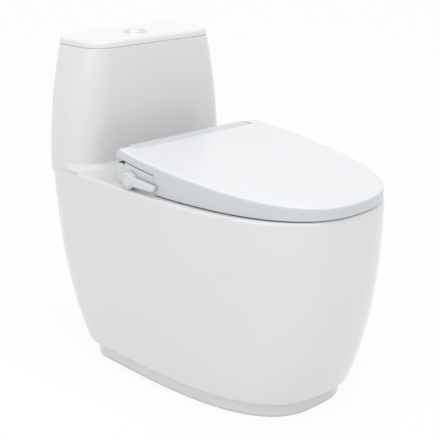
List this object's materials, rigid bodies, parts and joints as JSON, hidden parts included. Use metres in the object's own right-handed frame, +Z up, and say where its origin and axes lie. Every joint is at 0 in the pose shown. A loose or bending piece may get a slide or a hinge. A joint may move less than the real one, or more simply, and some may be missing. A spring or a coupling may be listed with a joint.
{
  "type": "one-piece toilet with washing seat",
  "caption": "Skirted one-piece toilet with a hinged lid and seat ring, a side lever, two washing nozzles and a dual flush button on its lift-off tank lid.",
  "frame": {"origin": "on the floor under the middle of the toilet, midway between its sides and between its front tip and its rear plane", "axes": "+Z up, -Y to the front of the bowl, -X to the user's right hand, where the lever is"},
  "size_m": [0.4006, 0.668, 0.6442],
  "materials": {
    "china_glaze": "gloss",
    "tank_lid_glaze": "gloss",
    "chrome_trim": "polished",
    "valve_plastic": "satin",
    "dark_rubber": "matt",
    "white_rubber": "matt",
    "seat_plastic": "gloss",
    "casing_plastic": "gloss",
    "lever_plastic": "gloss",
    "inner_plastic": "satin",
    "steel": "brushed",
    "brass": "satin",
    "hose": "satin"
  },
  "bodies": {
    "china": {"china_body": "china_glaze", "flush_valve_seal": "dark_rubber", "flush_valve_base": "valve_plastic", "overflow_tube": "valve_plastic", "flush_valve_head": "valve_plastic", "fill_valve": "valve_plastic", "shank_gasket": "dark_rubber", "shank_nut": "inner_plastic", "refill_tube": "hose", "casing_cover": "casing_plastic", "hinge_block": "casing_plastic", "casing_base": "inner_plastic", "mounting_plate": "steel", "seat_bolt_right": "steel", "seat_bolt_left": "steel", "seat_washer_right": "dark_rubber", "seat_washer_left": "dark_rubber", "seat_nut_right": "inner_plastic", "seat_nut_left": "inner_plastic", "hinge_damper_right": "inner_plastic", "hinge_damper_left": "inner_plastic", "control_valve": "brass", "nozzle_housing": "inner_plastic", "rear_nozzle_hose": "hose", "front_nozzle_hose": "hose", "inlet_connector": "brass", "inlet_hose": "hose", "outlet_seal": "dark_rubber"},
    "tank_lid": {"tank_lid": "tank_lid_glaze", "button_bezel": "chrome_trim", "button_nut": "valve_plastic", "full_button_spring": "steel", "half_button_spring": "steel"},
    "full_button": {"full_flush_button": "chrome_trim"},
    "half_button": {"half_flush_button": "chrome_trim"},
    "canister": {"canister": "valve_plastic", "canister_seal": "dark_rubber"},
    "float": {"float_cup": "valve_plastic"},
    "ring": {"seat_ring": "seat_plastic", "ring_bumpers": "white_rubber", "hinge_pin_right": "steel", "hinge_pin_left": "steel"},
    "lid": {"seat_lid": "seat_plastic", "lid_bumpers": "white_rubber"},
    "lever": {"lever": "lever_plastic", "lever_cap": "lever_plastic", "valve_stem": "brass"},
    "rear_nozzle": {"rear_wash_nozzle": "steel"},
    "front_nozzle": {"front_wash_nozzle": "steel"}
  },
  "joints": [
    {"name": "seat_ring_hinge", "type": "hinge", "parent": "china", "child": "ring", "pos_m": [0, 0.092, 0.4485], "axis": [-1, 0, 0], "range_deg": [0, 97]},
    {"name": "seat_lid_hinge", "type": "hinge", "parent": "ring", "child": "lid", "pos_m": [0, 0.092, 0.4485], "axis": [1, 0, 0], "range_deg": [-105, 0]},
    {"name": "wash_lever_turn", "type": "hinge", "parent": "china", "child": "lever", "pos_m": [-0.19, 0.048, 0.411], "axis": [-1, 0, 0], "range_deg": [0, 90]},
    {"name": "rear_nozzle_slide", "type": "slide", "parent": "china", "child": "rear_nozzle", "axis": [0, -0.9063, -0.4226], "range_m": [0, 0.062], "stiffness_N_per_m": 20},
    {"name": "front_nozzle_slide", "type": "slide", "parent": "china", "child": "front_nozzle", "axis": [0, -0.9063, -0.4226], "range_m": [0, 0.062], "stiffness_N_per_m": 20},
    {"name": "tank_lid_lift", "type": "slide", "parent": "china", "child": "tank_lid", "axis": [0, 0, 1], "range_m": [0, 0.12]},
    {"name": "full_flush_press", "type": "slide", "parent": "tank_lid", "child": "full_button", "axis": [0, 0, -1], "range_m": [0, 0.006], "stiffness_N_per_m": 300, "springref_m": -0.004, "deforming": ["full_button_spring"]},
    {"name": "half_flush_press", "type": "slide", "parent": "tank_lid", "child": "half_button", "axis": [0, 0, -1], "range_m": [0, 0.006], "stiffness_N_per_m": 300, "springref_m": -0.004, "deforming": ["half_button_spring"]},
    {"name": "canister_lift", "type": "slide", "parent": "china", "child": "canister", "axis": [0, 0, 1], "range_m": [0, 0.015]},
    {"name": "float_rise", "type": "slide", "parent": "china", "child": "float", "axis": [0, 0, 1], "range_m": [0, 0.05]}
  ],
  "couplings": [
    {"joint": "canister_lift", "follows": "full_flush_press", "ratio": 2.5}
  ]
}
